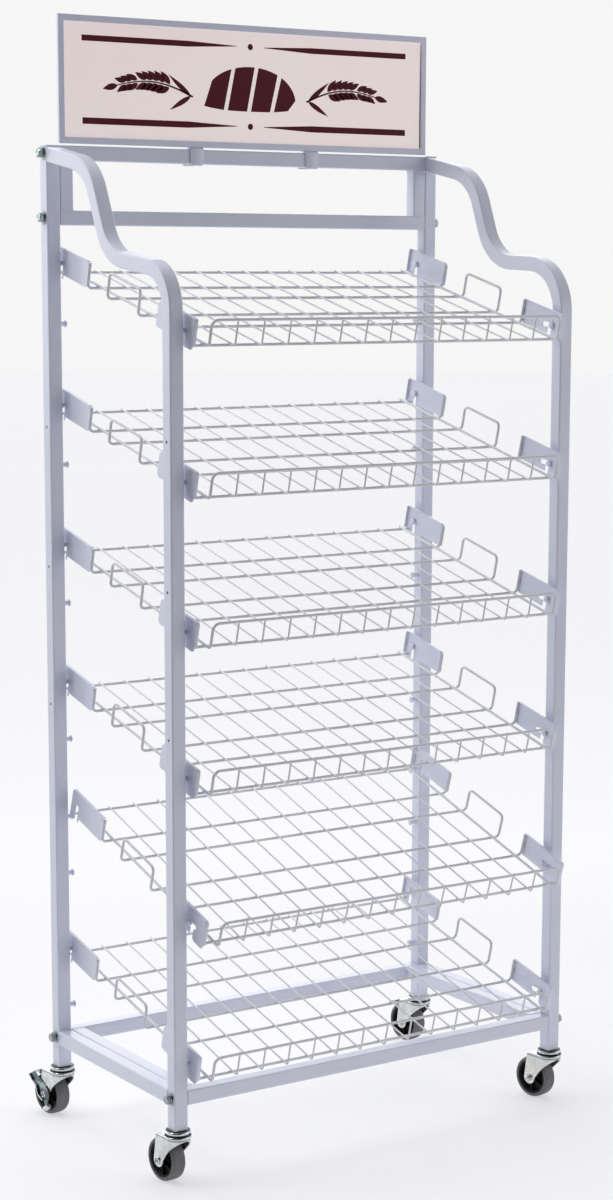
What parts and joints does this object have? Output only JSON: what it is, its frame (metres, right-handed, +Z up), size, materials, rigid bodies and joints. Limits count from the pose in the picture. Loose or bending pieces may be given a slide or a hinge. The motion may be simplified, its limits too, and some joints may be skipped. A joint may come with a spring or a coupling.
{
  "type": "bakery bread rack",
  "caption": "Mobile display rack of square tube with sloping wire shelves hung on studs, a slot-in header sign and swivel casters.",
  "frame": {"origin": "middle of the rack's outline on the floor, under the casters", "axes": "+Z up, +X to the right seen from the front, the shelves' lips towards -Y"},
  "size_m": [0.8503, 0.5615, 1.927],
  "materials": {
    "powder_coat": "satin powder coat",
    "wire_coat": "satin powder coat on wire",
    "zinc": "bright zinc plate",
    "tread": "matt grey rubber",
    "hub_plastic": "moulded, slightly glossy",
    "sign_card": "printed board"
  },
  "bodies": {
    "rack": {"base_rail_front": "powder_coat", "base_rail_left": "powder_coat", "base_rail_rear": "powder_coat", "base_rail_right": "powder_coat", "caster_sockets": "zinc", "caster_stems": "zinc", "frame_bolts": "zinc", "frame_washers": "zinc", "front_post_left": "powder_coat", "front_post_right": "powder_coat", "hanger_studs": "powder_coat", "post_caps": "powder_coat", "rail_end_nuts": "zinc", "rear_post_left": "powder_coat", "rear_post_right": "powder_coat", "side_rail_left": "powder_coat", "side_rail_right": "powder_coat", "swivel_balls": "zinc", "top_rail_lower": "powder_coat", "top_rail_upper": "powder_coat", "top_uprights": "powder_coat"},
    "caster_front_left": {"caster_front_left_fork": "zinc", "caster_front_left_axle": "zinc"},
    "wheel_front_left": {"caster_front_left_hub": "hub_plastic", "caster_front_left_tyre": "tread"},
    "caster_front_right": {"caster_front_right_fork": "zinc", "caster_front_right_axle": "zinc"},
    "wheel_front_right": {"caster_front_right_hub": "hub_plastic", "caster_front_right_tyre": "tread"},
    "caster_rear_left": {"caster_rear_left_fork": "zinc", "caster_rear_left_axle": "zinc"},
    "wheel_rear_left": {"caster_rear_left_hub": "hub_plastic", "caster_rear_left_tyre": "tread"},
    "brake_rear_left": {"caster_rear_left_brake": "zinc"},
    "caster_rear_right": {"caster_rear_right_fork": "zinc", "caster_rear_right_axle": "zinc"},
    "wheel_rear_right": {"caster_rear_right_hub": "hub_plastic", "caster_rear_right_tyre": "tread"},
    "brake_rear_right": {"caster_rear_right_brake": "zinc"},
    "shelf_1": {"shelf_1_grid": "wire_coat", "shelf_1_frame": "wire_coat", "shelf_1_hangers": "powder_coat"},
    "shelf_2": {"shelf_2_grid": "wire_coat", "shelf_2_frame": "wire_coat", "shelf_2_hangers": "powder_coat"},
    "shelf_3": {"shelf_3_grid": "wire_coat", "shelf_3_frame": "wire_coat", "shelf_3_hangers": "powder_coat"},
    "shelf_4": {"shelf_4_grid": "wire_coat", "shelf_4_frame": "wire_coat", "shelf_4_hangers": "powder_coat"},
    "shelf_5": {"shelf_5_grid": "wire_coat", "shelf_5_frame": "wire_coat", "shelf_5_hangers": "powder_coat"},
    "shelf_6": {"shelf_6_grid": "wire_coat", "shelf_6_frame": "wire_coat", "shelf_6_hangers": "powder_coat"},
    "sign": {"sign_frame": "powder_coat", "sign_clips": "powder_coat"},
    "sign_insert": {"sign_card": "sign_card"}
  },
  "joints": [
    {"name": "front_left_swivel", "type": "hinge", "parent": "rack", "child": "caster_front_left", "pos_m": [-0.3937, -0.2037, 0.09], "axis": [0, 0, 1], "continuous": true},
    {"name": "front_left_wheel_spin", "type": "hinge", "parent": "caster_front_left", "child": "wheel_front_left", "pos_m": [-0.39682, -0.17185, 0.0375], "axis": [0.9952, 0.0976, 0], "continuous": true},
    {"name": "front_right_swivel", "type": "hinge", "parent": "rack", "child": "caster_front_right", "pos_m": [0.3937, -0.2037, 0.09], "axis": [0, 0, 1], "continuous": true},
    {"name": "front_right_wheel_spin", "type": "hinge", "parent": "caster_front_right", "child": "wheel_front_right", "pos_m": [0.38803, -0.17221, 0.0375], "axis": [0.9842, 0.1771, 0], "continuous": true},
    {"name": "rear_left_swivel", "type": "hinge", "parent": "rack", "child": "caster_rear_left", "pos_m": [-0.3937, 0.2037, 0.09], "axis": [0, 0, 1], "continuous": true},
    {"name": "rear_left_wheel_spin", "type": "hinge", "parent": "caster_rear_left", "child": "wheel_rear_left", "pos_m": [-0.39815, 0.23539, 0.0375], "axis": [0.9903, 0.1392, 0], "continuous": true},
    {"name": "rear_left_brake_press", "type": "hinge", "parent": "caster_rear_left", "child": "brake_rear_left", "pos_m": [-0.39815, 0.23539, 0.0375], "axis": [-0.9903, -0.1392, 0], "range_deg": [0, 10]},
    {"name": "rear_right_swivel", "type": "hinge", "parent": "rack", "child": "caster_rear_right", "pos_m": [0.3937, 0.2037, 0.09], "axis": [0, 0, 1], "continuous": true},
    {"name": "rear_right_wheel_spin", "type": "hinge", "parent": "caster_rear_right", "child": "wheel_rear_right", "pos_m": [0.38925, 0.23539, 0.0375], "axis": [0.9903, 0.1392, 0], "continuous": true},
    {"name": "rear_right_brake_press", "type": "hinge", "parent": "caster_rear_right", "child": "brake_rear_right", "pos_m": [0.38925, 0.23539, 0.0375], "axis": [-0.9903, -0.1392, 0], "range_deg": [0, 10]},
    {"name": "shelf_1_lift", "type": "hinge", "parent": "rack", "child": "shelf_1", "pos_m": [0, -0.2037, 1.4112], "axis": [1, 0, 0], "range_deg": [0, 4]},
    {"name": "shelf_2_lift", "type": "hinge", "parent": "rack", "child": "shelf_2", "pos_m": [0, -0.2037, 1.1702], "axis": [1, 0, 0], "range_deg": [0, 15]},
    {"name": "shelf_3_lift", "type": "hinge", "parent": "rack", "child": "shelf_3", "pos_m": [0, -0.2037, 0.9292], "axis": [1, 0, 0], "range_deg": [0, 15]},
    {"name": "shelf_4_lift", "type": "hinge", "parent": "rack", "child": "shelf_4", "pos_m": [0, -0.2037, 0.6882], "axis": [1, 0, 0], "range_deg": [0, 15]},
    {"name": "shelf_5_lift", "type": "hinge", "parent": "rack", "child": "shelf_5", "pos_m": [0, -0.2037, 0.4472], "axis": [1, 0, 0], "range_deg": [0, 15]},
    {"name": "shelf_6_lift", "type": "hinge", "parent": "rack", "child": "shelf_6", "pos_m": [0, -0.2037, 0.2062], "axis": [1, 0, 0], "range_deg": [0, 15]},
    {"name": "sign_lift", "type": "slide", "parent": "rack", "child": "sign", "axis": [0, 0, 1], "range_m": [0, 0.06]},
    {"name": "card_slide", "type": "slide", "parent": "sign", "child": "sign_insert", "axis": [1, 0, 0], "range_m": [0, 0.6]}
  ]
}
